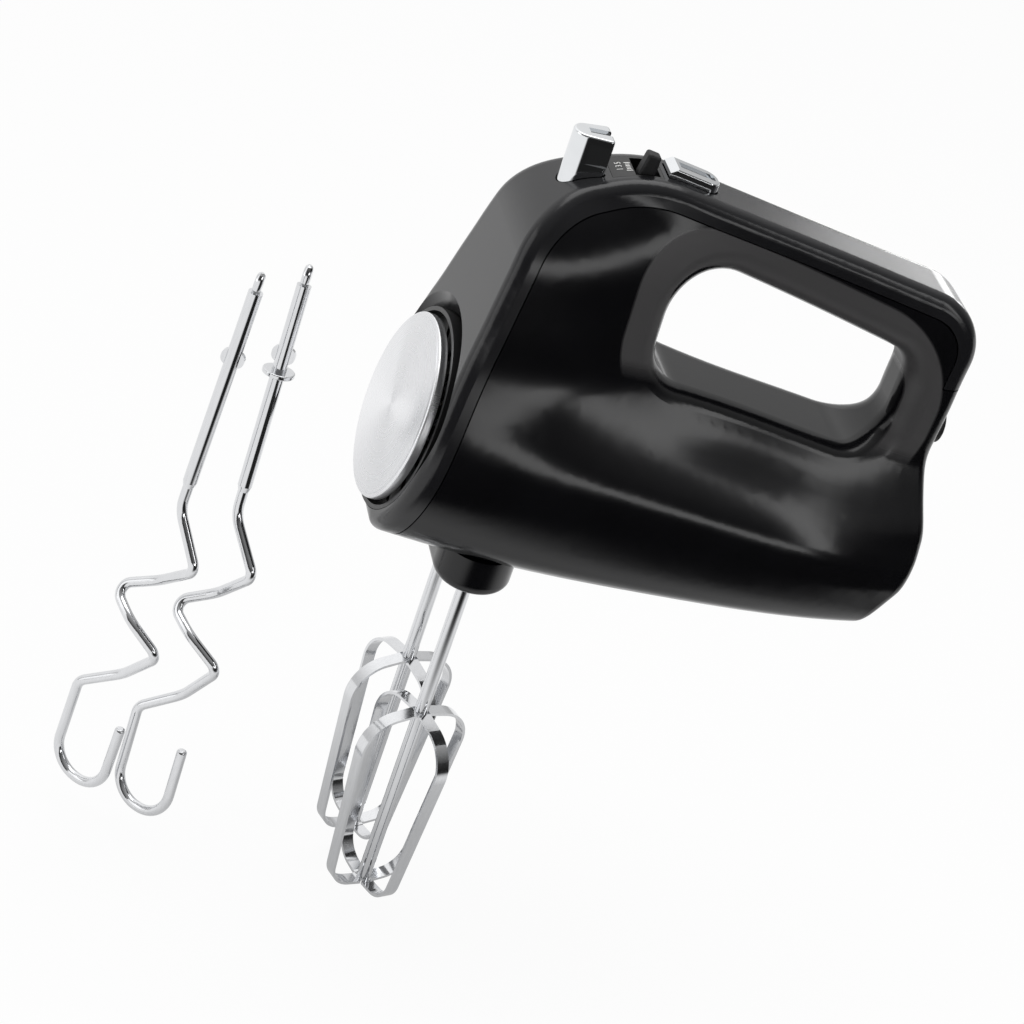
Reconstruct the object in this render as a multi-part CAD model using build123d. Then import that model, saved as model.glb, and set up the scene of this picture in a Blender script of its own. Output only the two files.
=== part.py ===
from build123d import *
import os
from math import atan2, cos, degrees, pi, radians, sin, sqrt, tan

# A hand mixer with two strip beaters fitted and two dough hooks beside it.
# Millimetres, +Z up. The nose looks along -X and the handle runs back along +X.
# The origin lies midway between the two beaters, level with their tips.

# Beaters and the sockets that hold them
beater_spacing = 30.0
beater_shaft_diameter = 4.8
beater_head_height = 75.0
beater_head_top_width = 43.0
beater_head_foot_width = 31.0
blade_width = 4.5
blade_thickness = 1.0
blade_turn = 22.5
shaft_tip_height = 180.0
shaft_tip_length = 7.0
shaft_tip_diameter = 3.6
ear_drop = 28.6
ear_height = 5.6
ear_span = 7.8
ear_thickness = 1.6
socket_clearance = 0.06
weld_gap = 0.02

# Housing outline, seen from the side
body_bottom = 143.5
nose_foot = -39.5
nose_top = -28.5
nose_top_height = 208.0
brow = -17.1
deck_height = 272.9
deck_rise = 0.33
handle_height = 281.9
handle_fall = 0.196
handle_rear = 139.8
waist_rear = 139.0
waist_height = 199.0
heel_rear = 143.5
heel_height = 166.0
heel_foot = 127.0
nose_foot_radius = 6.0
brow_radius = 30.0
crest_radius = 45.0
handle_rear_radius = 22.0
waist_radius = 60.0
heel_radius = 30.0
heel_foot_radius = 9.0
nose_top_radius = 60.0

# Housing sections, seen from the front
bulge_half_width = 39.5
bulge_height = 177.0
shoulder_radius = 4.5
wall = 2.6

# Side below the bulge: share of the way up from the bottom, then the share of the bulge's half width
# where the underside is flat and where it is round
belly = [
    (-0.10, 0.72, 0.10),
    (0.0, 0.77, 0.30),
    (0.10, 0.85, 0.50),
    (0.22, 0.915, 0.67),
    (0.42, 0.965, 0.83),
    (0.70, 0.99, 0.955),
]

# Side above the bulge: height over the bulge, then half width at the nose and at the handle
flank = [
    (0, 39.5, 39.5),
    (9, 38.3, 37.2),
    (16, 36.4, 32.4),
    (23, 34.0, 25.6),
    (30, 31.8, 19.0),
    (38, 29.6, 14.4),
    (48, 27.8, 12.6),
    (58, 25.8, 12.2),
    (70, 23.4, 12.0),
    (80, 20.0, 11.8),
    (88, 15.8, 11.6),
    (94, 12.3, 11.4),
    (100, 11.0, 11.2),
    (122, 10.6, 11.0),
]

# Sections along X: place, width share, drop of the bulge, roundness of the underside, handle share
stations = [
    (-70, 0.84, 0, 1.0, 0.0),
    (-39, 0.92, 0, 0.9, 0.0),
    (-8, 1.0, 0, 0.45, 0.05),
    (26, 1.0, 1, 0.15, 0.55),
    (60, 1.0, 4, 0.03, 1.0),
    (100, 0.99, 10, 0.0, 1.0),
    (175, 0.80, 20, 0.0, 1.0),
]
neck_half_width = 11.0
neck_blend = 15.0

# Hand hole
grip_front = 34.0
grip_rear = 120.0
grip_top = 264.3
grip_top_fall = 0.253
grip_floor = 220.4
grip_floor_fall = 0.184
grip_radii = [15.0, 14.0, 10.0, 16.0]
grip_edge_radius = 9.0
grip_wall = 6.0

# Cover band and its seam
cover_depth = 7.0
cover_rear_foot = 227.0
seam_gap = 0.4

# Nose disc and the dish behind it
disc_height = 180.4
disc_radius = 30.6
disc_thickness = 3.0
disc_proud = 3.6
disc_dome = 1.2
dish_radius = 33.4
dish_depth = 6.4
dish_wall = 1.4
dish_slots = 16
dish_clearance = 0.2
scoop_radius = 35.0
scoop_rise = 7.0
scoop_depth = 4.2
scoop_wall = 2.2

# Shaft boss under the housing
boss_bottom = 131.0
boss_radius = 13.0
boss_edge_radius = 4.0

# Drive
motor_height = 180.0
tooth_count = 28
worm_starts = 2
worm_pitch_radius = 3.5
addendum = 0.75
dedendum = 1.0
flank_angle = 20.0
tooth_share = 0.4
gear_width = 9.0
gear_hub_radius = 7.0
gear_hub_height = 16.0
spindle_radius = 4.5
spindle_foot = 136.0
spindle_top = 203.0
spindle_bore_clearance = 0.05
bush_wall = 1.5
bush_length = 6.0
armature_shaft_radius = 2.6
armature_radius = 12.0
armature_front = 38.0
armature_rear = 64.0
armature_slots = 12
air_gap = 0.6
stator_half_width = 21.0
stator_half_height = 19.5
commutator_front = 74.0
commutator_rear = 86.0
commutator_radius = 8.5
fan_front = 27.0
fan_rear = 32.0
fan_radius = 19.0
fan_blades = 9
shaft_rear = 101.0

# Gearbox frame
frame_front = -20.4
frame_rear = 25.0
frame_half_width = 24.0
frame_wall = 4.0
frame_top = 196.0
bracket_front = 94.0
bracket_thickness = 3.0
bracket_half_width = 22.0
bracket_foot = 165.0
bracket_top = 188.0
motor_screw_side = 18.0
motor_screw_drop = 12.0

# Controls
press_travel = 9.0
post_front = -9.8
post_shoulder = -5.8
post_rear = 2.5
post_shoulder_half_width = 4.6
post_rear_half_width = 5.6
post_top = 285.3
post_bottom = 262.0
stem_place = -4.0
stem_radius = 3.0
yoke_bottom = 214.5
yoke_thickness = 5.0
guide_bottom = 240.0
guide_thickness = 3.0
panel_front = 4.6
panel_rear = 20.6
panel_half_width = 6.4
panel_thickness = 2.4
slider_place = 15.6
slider_rest = -2.6
slider_travel = 5.0
slider_fin_thickness = 4.4
slider_fin_width = 4.4
slider_fin_top = 283.5
turbo_front = 22.4
turbo_rear = 39.8
turbo_half_width = 4.6
turbo_proud = 3.2
turbo_foot = 268.6
turbo_travel = 2.0
button_clearance = 0.35
board_bottom = 262.0
board_thickness = 1.6

# Dough hooks: places on the ground, the turn of the coil, and how each leans to the side and back
hook_length = 209.0
hook_shank_foot = 128.0
hook_wire_radius = 1.8
hook_turn = -20.28
hook_places = [(-96.4, 16.0, -0.12), (-75.2, 3.5, 0.41)]
hook_leans = [(2.8, 1.8), (-0.7, 8.0)]
hook_bow_radius = 10.6
hook_coil_turn = -25.0
hook_collar_drop = 32.1
hook_collar_radius = 5.4

# Fasteners
screw_radius = 1.4
screw_head_radius = 2.7
screw_head_height = 2.0
screw_clearance = 0.05
seat_gap = 0.1

CENTRE = (Align.CENTER, Align.CENTER, Align.MIN)
sides = {"left": -1, "right": 1}
beater_place = beater_spacing / 2
shaft_radius = beater_shaft_diameter / 2
floor_height = body_bottom + wall


def block(one, other):
    """A box between two opposite corners."""
    low = [min(a, b) for a, b in zip(one, other)]
    size = [abs(b - a) for a, b in zip(one, other)]
    return Pos(*low) * Box(*size, align=(Align.MIN, Align.MIN, Align.MIN))


def post(x, y, low, high, radius):
    """An upright cylinder."""
    return Pos(x, y, low) * Cylinder(radius, high - low, align=CENTRE)


def bar(y, z, front, rear, radius):
    """A cylinder lying along X."""
    return Pos(front, y, z) * Rot(0, 90, 0) * Cylinder(radius, rear - front, align=CENTRE)


def cross_bar(x, z, near, far, radius):
    """A cylinder lying along Y."""
    return Pos(x, near, z) * Rot(-90, 0, 0) * Cylinder(radius, far - near, align=CENTRE)


def group(solids):
    """Separate solids kept together in one node."""
    return Compound(children=list(solids))


def coil_spring(x, y, low, high, radius, wire, turns):
    """An upright compression spring between two heights."""
    path = Helix(pitch=(high - low - 2 * wire) / turns, height=high - low - 2 * wire, radius=radius)
    ring = Plane(origin=path @ 0, z_dir=path % 0) * Circle(wire)
    return Pos(x, y, low + wire) * sweep(ring, path=path, is_frenet=True)


# Outlines of straight runs joined by tangent arcs, as corner points with radii

def moved_in(corners, distance):
    """The same outline with every run moved inwards by a distance."""
    runs = []
    for (x0, z0), (x1, z1) in zip(corners, corners[1:] + corners[:1]):
        length = sqrt((x1 - x0) ** 2 + (z1 - z0) ** 2)
        along = ((x1 - x0) / length, (z1 - z0) / length)
        runs.append((x0 - along[1] * distance, z0 + along[0] * distance, *along))
    moved = []
    for (ax, az, adx, adz), (bx, bz, bdx, bdz) in zip(runs[-1:] + runs[:-1], runs):
        step = ((bx - ax) * bdz - (bz - az) * bdx) / (adx * bdz - adz * bdx)
        moved.append((ax + adx * step, az + adz * step))
    return moved


def rounded(corners, radii, distance=0.0):
    """A face on the XZ plane from corner points, moved in, with every corner rounded."""
    places = moved_in(corners, distance) if distance else corners
    face = make_face(Polyline(*places, close=True))
    for place, radius, before, after in zip(places, radii, places[-1:] + places[:-1], places[1:] + places[:1]):
        turn = (place[0] - before[0]) * (after[1] - place[1]) - (place[1] - before[1]) * (after[0] - place[0])
        corner = face.vertices().sort_by_distance(Vector(*place))[0]
        face = fillet(corner, max(radius - distance if turn > 0 else radius + distance, 1.0))
    return Plane.XZ * face


def slab(face):
    """A face on the XZ plane drawn out through the whole width."""
    return extrude(face, amount=2 * bulge_half_width, both=True)


def handle_line(x):
    return handle_height - handle_fall * x


def deck_line(x):
    return deck_height + deck_rise * x


crest = (handle_height - deck_height) / (handle_fall + deck_rise)
outline = [
    (nose_foot, body_bottom),
    (heel_foot, body_bottom),
    (heel_rear, heel_height),
    (waist_rear, waist_height),
    (handle_rear, handle_line(handle_rear)),
    (crest, handle_line(crest)),
    (brow, deck_line(brow)),
    (nose_top, nose_top_height),
]
outline_radii = [
    nose_foot_radius,
    heel_foot_radius,
    heel_radius,
    waist_radius,
    handle_rear_radius,
    crest_radius,
    brow_radius,
    nose_top_radius,
]
grip = [
    (grip_front, grip_floor - grip_floor_fall * grip_front),
    (grip_rear, grip_floor - grip_floor_fall * grip_rear),
    (grip_rear, grip_top - grip_top_fall * grip_rear),
    (grip_front, grip_top - grip_top_fall * grip_front),
]


# Housing body: pear-shaped sections along X, trimmed by the side outline

def pear_section(station, distance):
    """One cross-section, from the underside over the motor bulge up to the neck or the handle."""
    x, width_share, drop, roundness, handle_share = station
    middle = bulge_height - drop
    right_side = []
    for share, flat, round_share in belly:
        half_width = bulge_half_width * width_share * (flat + (round_share - flat) * roundness)
        right_side.append((half_width - distance, body_bottom + share * (middle - body_bottom)))
    for height, nose, handle in flank:
        half_width = nose + (handle - nose) * handle_share
        swell = min(max((half_width - neck_half_width) / neck_blend, 0.0), 1.0)
        right_side.append((half_width * (1 + (width_share - 1) * swell) - distance, middle + height))
    right = Spline(*right_side)
    left = Spline(*[(-y, z) for y, z in reversed(right_side)])
    face = make_face([right, Line(right @ 1, left @ 0), left, Line(left @ 1, right @ 0)])
    return Plane(origin=(x, 0, 0), x_dir=(0, 1, 0), z_dir=(1, 0, 0)) * face


def body_form(distance):
    """The housing's form with its skin moved in by a distance."""
    sections = [pear_section(station, distance) for station in stations]
    return loft(sections) & slab(rounded(outline, outline_radii, distance))


def one_sided(edges):
    """Edges that stay on one side of the middle plane."""
    return [e for e in edges if e.bounding_box().min.Y > 1 or e.bounding_box().max.Y < -1]


def on_surface(edges, solid):
    """Edges whose middle lies on the surface of a solid."""
    return [e for e in edges if solid.distance_to(Vertex(*(e @ 0.5))) < 0.01 and abs((e @ 0.5).Y) > 1]


sharp_form = body_form(0.0)
solid_form = fillet(one_sided(sharp_form.edges()), shoulder_radius)
grip_hole = slab(rounded(grip, grip_radii))
grip_shell = grip_hole.faces().filter_by(lambda f: abs(f.normal_at().Y) < 0.5)
solid_form = solid_form - grip_hole
grip_edges = on_surface(one_sided(solid_form.edges()), Compound(children=list(grip_shell)))
solid_form = fillet(grip_edges, grip_edge_radius)
cavity = body_form(wall) - slab(rounded(grip, grip_radii, -grip_wall))
inner_form = body_form(wall + seat_gap)

boss_plan = Rot(0, 0, 90) * SlotCenterToCenter(beater_spacing, 2 * boss_radius)
boss = extrude(Pos(0, 0, boss_bottom) * boss_plan, amount=body_bottom + wall / 2 - boss_bottom)
boss = fillet(boss.faces().sort_by(Axis.Z)[0].edges(), boss_edge_radius)
spindle_way = spindle_radius + 1.1
spindle_ways = [
    post(0, side * beater_place, boss_bottom - 1, floor_height + 1, spindle_way) for side in sides.values()
]


# Nose axis: the disc leans back with the nose

nose_lean = degrees(atan2(nose_top - nose_foot, nose_top_height - body_bottom))
nose_face = nose_foot + (disc_height - body_bottom) * (nose_top - nose_foot) / (nose_top_height - body_bottom)
nose_plane = Plane(
    origin=(nose_face, 0, disc_height),
    x_dir=(0, 1, 0),
    z_dir=(-cos(radians(nose_lean)), 0, sin(radians(nose_lean))),
)


def on_nose(start, length, radius):
    """A cylinder on the nose axis, measured outwards from the nose face."""
    return nose_plane * Pos(0, 0, start) * Cylinder(radius, length, align=CENTRE)


nose_way = on_nose(-20, 30, dish_radius + dish_clearance)
scoop = loft([
    nose_plane * Pos(0, 0, -scoop_depth) * Circle(dish_radius + dish_clearance),
    nose_plane * Pos(0, -scoop_rise, 2.0) * Circle(scoop_radius),
])
scoop_back = on_nose(-scoop_depth - scoop_wall, 20, scoop_radius + scoop_rise + scoop_wall)


# Housing screws: four posts that join the two side shells

screw_places = [(-25.0, 153.5), (8.0, 229.0), (129.0, 166.0), (131.0, 219.5)]
screw_post_radius = screw_head_radius + 1.5
screw_seat = 5.0
screw_end = -7.5


def screw_post(x, z):
    return cross_bar(x, z, -bulge_half_width, bulge_half_width, screw_post_radius) & solid_form


def screw_way(x, z):
    shank = cross_bar(x, z, screw_end - 0.5, screw_seat + 1, screw_radius + screw_clearance)
    return shank + cross_bar(x, z, screw_seat, bulge_half_width + 5, screw_head_radius + 0.3)


def housing_screw(x, z):
    shank = cross_bar(x, z, screw_end, screw_seat, screw_radius)
    head = cross_bar(x, z, screw_seat, screw_seat + screw_head_height, screw_head_radius)
    slot = block((x - 3, screw_seat + 1.2, z - 0.4), (x + 3, screw_seat + 3, z + 0.4))
    return shank + head - slot


# Cord inlet in the rear wall, below the handle

inlet_height = 208.0
inlet_radius = 4.8
inlet_flange_radius = 6.6
inlet_bore = 3.0
inlet_face = waist_rear + (inlet_height - waist_height) * (handle_rear - waist_rear) / (
    handle_line(handle_rear) - waist_height
)


# Control openings in the cover

def post_plan(growth):
    """The eject button's plan: a bowed prow that widens to the rear."""
    front = ThreePointArc(
        (post_shoulder - growth, -post_shoulder_half_width - growth),
        (post_front - growth, 0),
        (post_shoulder - growth, post_shoulder_half_width + growth),
    )
    right = Line(front @ 1, (post_rear + growth, post_rear_half_width + growth))
    rear = Line(right @ 1, (post_rear + growth, -post_rear_half_width - growth))
    left = Line(rear @ 1, front @ 0)
    return fillet(make_face([front, right, rear, left]).vertices(), 1.2)


def turbo_plan(growth):
    """The turbo button's plan: square in front, rounded behind."""
    length = turbo_rear - turbo_front + 2 * growth
    face = Pos((turbo_front + turbo_rear) / 2, 0) * Rectangle(length, 2 * (turbo_half_width + growth))
    return fillet(face.vertices().group_by(Axis.X)[-1], 4.0)


post_way = extrude(Pos(0, 0, post_bottom - 4) * post_plan(button_clearance), amount=40)
turbo_way = extrude(Pos(0, 0, turbo_foot - 2) * turbo_plan(button_clearance), amount=30)
panel_way = block(
    (panel_front, -panel_half_width, board_bottom), (panel_rear, panel_half_width, handle_height + 10)
)


# The three skins of the housing

far_low = (nose_foot - 20, -2 * bulge_half_width, boss_bottom - 10)
far_high = (heel_rear + 20, 2 * bulge_half_width, handle_height + 20)


def cover_zone(gap):
    """The band along the front and top that belongs to the cover."""
    zone = block(far_low, far_high)
    corners = moved_in(outline, cover_depth + gap)
    slope = (corners[-1][0] - corners[0][0]) / (corners[-1][1] - corners[0][1])
    drop = corners[0][1] - boss_bottom
    corners[0] = (corners[0][0] - slope * drop, boss_bottom)
    corners[1] = (corners[1][0], boss_bottom)
    radii = [max(radius - cover_depth, 1.0) for radius in outline_radii]
    zone = zone - slab(rounded(corners, radii))
    return zone - block((grip_front, far_low[1], far_low[2]), (far_high[0], far_high[1], cover_rear_foot - gap))


def half(side):
    """Everything on one side of the middle plane."""
    low, high = sorted((0, side * far_high[1]))
    return block((far_low[0], low, far_low[2]), (far_high[0], high, far_high[2]))


scoop_back = scoop_back & solid_form & block((far_low[0], far_low[1], disc_height + 8), far_high)
skin = (solid_form - cavity) + scoop_back - nose_way - scoop


def top_cover():
    return (skin & cover_zone(0.0)) - post_way - turbo_way - panel_way


def side_shell(side):
    shell = (skin - cover_zone(seam_gap)) + boss
    shell = shell + [screw_post(x, z) - cover_zone(seam_gap) for x, z in screw_places]
    shell = shell - spindle_ways - [screw_way(x, z) for x, z in screw_places]
    shell = shell - bar(0, inlet_height, inlet_face - 12, inlet_face + 12, inlet_radius + seat_gap)
    return shell & half(side)


def cord_inlet():
    sleeve = bar(0, inlet_height, inlet_face - 6, inlet_face + 2.4, inlet_radius)
    flange = bar(0, inlet_height, inlet_face + 0.9, inlet_face + 2.9, inlet_flange_radius)
    inner = bar(0, inlet_height, inlet_face - 6, inlet_face - 4, inlet_flange_radius)
    return sleeve + flange + inner - bar(0, inlet_height, inlet_face - 8, inlet_face + 8, inlet_bore)


# Nose dish with vent slots, and the spun disc on its hub

hub_radius = 9.0


def nose_dish():
    dish = on_nose(-dish_depth, dish_depth, dish_radius)
    dish = dish - on_nose(dish_wall - dish_depth, dish_depth, dish_radius - dish_wall)
    dish = dish + on_nose(-dish_depth, dish_depth + disc_proud - disc_thickness, hub_radius)
    slot = Pos((hub_radius + dish_radius) / 2, 0, -dish_depth - 1) * Box(
        dish_radius - hub_radius - 7, 2.6, dish_wall + 2, align=CENTRE
    )
    slots = [nose_plane * Rot(0, 0, 360 * i / dish_slots) * slot for i in range(dish_slots)]
    return dish - slots


def front_disc():
    base = disc_proud - disc_thickness
    rim = on_nose(base, disc_thickness, disc_radius)
    rim = fillet(rim.edges().group_by(Axis((0, 0, 0), tuple(nose_plane.z_dir)))[-1], 0.8)
    ball_radius = (disc_radius ** 2 + disc_dome ** 2) / (2 * disc_dome)
    dome = nose_plane * Pos(0, 0, disc_proud + disc_dome - ball_radius) * Sphere(ball_radius)
    return rim + (dome & on_nose(disc_proud - 0.2, 4, disc_radius - 1.2))


# Gears: 2-start worm on the armature shaft between two helical gears

gear_pitch_radius = beater_place - worm_pitch_radius
axial_pitch = 2 * pi * gear_pitch_radius / tooth_count
worm_lead = worm_starts * axial_pitch
flank_slope = tan(radians(flank_angle))
half_tooth = tooth_share * axial_pitch / 2
tip_half = half_tooth - addendum * flank_slope
root_half = half_tooth + dedendum * flank_slope
worm_half_turns = 9
worm_front = -worm_half_turns * axial_pitch / 2


def gear_section(height, turn):
    """The gear's toothed outline at a height, turned about its own axis."""
    step = 360 / tooth_count
    tip, root = gear_pitch_radius + addendum, gear_pitch_radius - dedendum
    corners = []
    for tooth in range(tooth_count):
        middle = (tooth + 0.5) * step + turn
        for radius, offset in ((root, -root_half), (tip, -tip_half), (tip, tip_half), (root, root_half)):
            angle = radians(middle) + offset / radius
            corners.append((radius * cos(angle), radius * sin(angle), height))
    return make_face(Polyline(*corners, close=True))


def drive_gear(side):
    half_twist = degrees(worm_lead / (2 * pi * worm_pitch_radius) * gear_width / 2 / gear_pitch_radius)
    sections = [gear_section(share * gear_width / 2, share * half_twist) for share in (-1, 0, 1)]
    teeth = loft(sections, ruled=True)
    hub = Cylinder(gear_hub_radius, gear_hub_height)
    bore = Cylinder(spindle_radius + weld_gap, gear_hub_height + 2)
    return Pos(0, side * beater_place, motor_height) * (teeth + hub - bore)


def armature_shaft():
    thread = Polyline(
        (armature_shaft_radius - 0.3, -root_half),
        (worm_pitch_radius + addendum, -tip_half),
        (worm_pitch_radius + addendum, tip_half),
        (armature_shaft_radius - 0.3, root_half),
        close=True,
    )
    path = Helix(pitch=worm_lead, height=2 * -worm_front, radius=worm_pitch_radius)
    turn = sweep(Plane.XZ * make_face(thread), path=path, is_frenet=True)
    worm = Pos(worm_front, 0, motor_height) * Rot(0, 90, 0) * (turn + Rot(0, 0, 180) * turn)
    return bar(0, motor_height, frame_front + 0.5, shaft_rear, armature_shaft_radius) + worm


# Spindles: slotted tubes that carry a gear and hold a beater shaft

spindle_bore = shaft_radius + socket_clearance
ear_top = shaft_tip_height - ear_drop
ear_foot = ear_top - ear_height


def spindle(side):
    place = side * beater_place
    tube = post(0, place, spindle_foot, spindle_top, spindle_radius)
    tube = tube - post(0, place, spindle_foot - 1, spindle_top + 1, spindle_bore)
    slot = Pos(0, place, spindle_foot - 1) * Rot(0, 0, blade_turn) * Box(
        3 * spindle_radius, ear_thickness + 2 * 0.15, ear_top + 0.3 - spindle_foot + 1, align=CENTRE
    )
    clip_groove = post(0, place, spindle_top - 2.2, spindle_top - 1.0, spindle_radius + 1)
    clip_groove = clip_groove - post(0, place, spindle_top - 2.2, spindle_top - 1.0, spindle_radius - 0.6)
    return tube - slot - clip_groove


def spindle_clip(side):
    place = side * beater_place
    ring = post(0, place, spindle_top - 2.1, spindle_top - 1.1, spindle_radius + 1.8)
    ring = ring - post(0, place, spindle_top - 3, spindle_top, spindle_radius - 0.55)
    return ring - block((-1.6, place, spindle_top - 3), (1.6, place + side * 10, spindle_top))


def spindle_bushes(side):
    """Flanged bronze bushes under and over the gear."""
    place = side * beater_place
    way = spindle_radius + spindle_bore_clearance
    outer = way + bush_wall
    base = floor_height + frame_wall
    lower = post(0, place, base - frame_wall, base + bush_length, outer)
    upper = post(0, place, frame_top, frame_top + frame_wall + 0.4, outer)
    return group(b - post(0, place, floor_height - 1, spindle_top, way) for b in (lower, upper))


bush_way = spindle_radius + spindle_bore_clearance + bush_wall + weld_gap
bush_boss_radius = bush_way + 2.0
bearing_radius = armature_shaft_radius + spindle_bore_clearance + 2.2
wall_half_width = 14.0


def bearing_way(front, rear):
    return bar(0, motor_height, front, rear, bearing_radius + weld_gap)


cover_screw_places = [(x, y) for x in (frame_front + 2.0, frame_rear - 2.0) for y in (-10.0, 10.0)]
motor_screw_places = [(y, motor_height - motor_screw_drop) for y in (-motor_screw_side, motor_screw_side)]


def gearbox_frame():
    deck = floor_height + frame_wall
    base = block((frame_front, -frame_half_width, floor_height), (frame_rear, frame_half_width, deck))
    for side in sides.values():
        base = base + post(0, side * beater_place, floor_height, deck + bush_length, bush_boss_radius)
    front = block(
        (frame_front, -wall_half_width, floor_height), (frame_front + frame_wall, wall_half_width, frame_top)
    )
    rear = block(
        (frame_rear - frame_wall, -frame_half_width, floor_height), (frame_rear, frame_half_width, frame_top)
    )
    frame = (base + front + rear) & inner_form
    for side in sides.values():
        frame = frame - post(0, side * beater_place, floor_height - 1, frame_top, bush_way)
    frame = frame - bearing_way(frame_front - 1, frame_front + frame_wall + 1)
    frame = frame - bearing_way(frame_rear - frame_wall - 1, frame_rear + 1)
    pilot = screw_radius + screw_clearance
    frame = frame - [post(x, y, frame_top - 9, frame_top + 1, pilot) for x, y in cover_screw_places]
    return frame - [bar(y, z, frame_rear - frame_wall - 1, frame_rear + 1, pilot) for y, z in motor_screw_places]


def gearbox_cover():
    plate = block(
        (frame_front, -frame_half_width, frame_top), (frame_rear, frame_half_width, frame_top + frame_wall)
    )
    for side in sides.values():
        plate = plate - post(0, side * beater_place, frame_top - 1, frame_top + frame_wall + 1, bush_way)
    way = screw_radius + screw_clearance
    return plate - [post(x, y, frame_top - 1, frame_top + frame_wall + 1, way) for x, y in cover_screw_places]


def cover_screws():
    top = frame_top + frame_wall
    screws = []
    for x, y in cover_screw_places:
        head = post(x, y, top, top + screw_head_height, screw_head_radius)
        head = head - block((x - 3, y - 0.4, top + 1.2), (x + 3, y + 0.4, top + 3))
        screws.append(head + post(x, y, frame_top - 8, top, screw_radius))
    return group(screws)


def shaft_bearing(front, rear):
    """A bronze sleeve round the armature shaft."""
    sleeve = bar(0, motor_height, front, rear, bearing_radius)
    return sleeve - bar(0, motor_height, front - 1, rear + 1, armature_shaft_radius + spindle_bore_clearance)


# Motor

coil_inner = armature_radius + air_gap + 1.4
coil_outer = coil_inner + 4.5
coil_front = armature_front - 5.0
coil_rear = armature_rear + 5.0
coil_half_angle = 55.0
pole_half_angle = 34.0


def ring_sector(front, rear, inner, outer, middle, half_angle):
    """Part of a thick ring round the motor axis."""
    ring = bar(0, motor_height, front, rear, outer) - bar(0, motor_height, front - 1, rear + 1, inner)
    far = 3 * outer * cos(radians(half_angle))
    wide = 3 * outer * sin(radians(half_angle))
    wedge = make_face(Polyline((0, 0), (far, -wide), (far, wide), close=True))
    facing = Plane(origin=(front - 1, 0, motor_height), x_dir=(0, 1, 0), z_dir=(1, 0, 0))
    return ring & extrude(facing * Rot(0, 0, middle) * wedge, amount=rear - front + 2)


def field_coil(middle, growth):
    whole = ring_sector(
        coil_front, coil_rear, coil_inner - growth, coil_outer + growth, middle, coil_half_angle + 3 * growth
    )
    pole = ring_sector(
        armature_front, armature_rear, coil_inner - 5, coil_outer + 5, middle, pole_half_angle - 3 * growth
    )
    return whole - pole


def stator_core():
    core = block(
        (armature_front, -stator_half_width, motor_height - stator_half_height),
        (armature_rear, stator_half_width, motor_height + stator_half_height),
    )
    core = fillet(core.edges().filter_by(Axis.X), 6.0)
    core = core - bar(0, motor_height, armature_front - 1, armature_rear + 1, armature_radius + air_gap)
    for middle in (90, 270):
        core = core - field_coil(middle, 0.15)
    way = screw_radius + screw_clearance
    return core - [bar(y, z, armature_front - 1, armature_rear + 1, way) for y, z in motor_screw_places]


def field_coils():
    return group(field_coil(middle, 0.0) for middle in (90, 270))


def armature_core():
    core = bar(0, motor_height, armature_front, armature_rear, armature_radius)
    slot = Pos(0, 0, armature_radius - 4.0) * Box(armature_rear - armature_front + 2, 2.4, 6.0, align=CENTRE)
    middle = Pos((armature_front + armature_rear) / 2, 0, motor_height)
    core = core - [middle * Rot(360 * i / armature_slots, 0, 0) * slot for i in range(armature_slots)]
    return core - bar(0, motor_height, armature_front - 1, armature_rear + 1, armature_shaft_radius + weld_gap)


def armature_winding():
    """The two bundles of end turns and the wires in the slots between them."""
    rear = bar(0, motor_height, armature_rear + 0.1, armature_rear + 5, armature_radius - 2.2)
    front = bar(0, motor_height, armature_front - 4.6, armature_front - 0.1, armature_radius - 2.2)
    wire = Pos(0, 0, armature_radius - 3.7) * Box(armature_rear - armature_front + 2, 2.0, 2.6, align=CENTRE)
    middle = Pos((armature_front + armature_rear) / 2, 0, motor_height)
    wires = [middle * Rot(360 * i / armature_slots, 0, 0) * wire for i in range(armature_slots)]
    winding = rear + front + wires
    return winding - bar(0, motor_height, coil_front - 5, coil_rear + 5, armature_shaft_radius + weld_gap)


def commutator():
    drum = bar(0, motor_height, commutator_front, commutator_rear, commutator_radius)
    slit = Pos(0, 0, commutator_radius - 1.0) * Box(commutator_rear - commutator_front - 3, 0.6, 2, align=CENTRE)
    middle = Pos((commutator_front + commutator_rear) / 2, 0, motor_height)
    drum = drum - [middle * Rot(360 * (i + 0.5) / armature_slots, 0, 0) * slit for i in range(armature_slots)]
    return drum - bar(0, motor_height, commutator_front - 1, commutator_rear + 1, armature_shaft_radius + weld_gap)


def cooling_fan():
    plate = bar(0, motor_height, fan_rear - 1.2, fan_rear, fan_radius)
    hub = bar(0, motor_height, fan_front, fan_rear, 6.0)
    blade = Pos((fan_front + fan_rear - 1) / 2, 0, 5.5) * Box(
        fan_rear - fan_front - 1, 1.2, fan_radius - 5.7, align=CENTRE
    )
    blades = [Pos(0, 0, motor_height) * Rot(360 * i / fan_blades, 0, 0) * blade for i in range(fan_blades)]
    return plate + hub + blades - bar(0, motor_height, fan_front - 1, fan_rear + 1, armature_shaft_radius + weld_gap)


bracket_rear = bracket_front + bracket_thickness
brush_place = (commutator_front + commutator_rear) / 2
brush_size = 5.0
brush_start = commutator_radius + 0.15
brush_length = 8.0
holder_start = commutator_radius + 1.5
holder_end = 22.0


def rear_bracket():
    plate = block(
        (bracket_front, -bracket_half_width, bracket_foot), (bracket_rear, bracket_half_width, bracket_top)
    )
    plate = fillet(plate.edges().filter_by(Axis.X), 4.0)
    way = screw_radius + screw_clearance
    plate = plate - bearing_way(bracket_front - 1, bracket_rear + 1)
    return plate - [bar(y, z, bracket_front - 1, bracket_rear + 1, way) for y, z in motor_screw_places]


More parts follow.
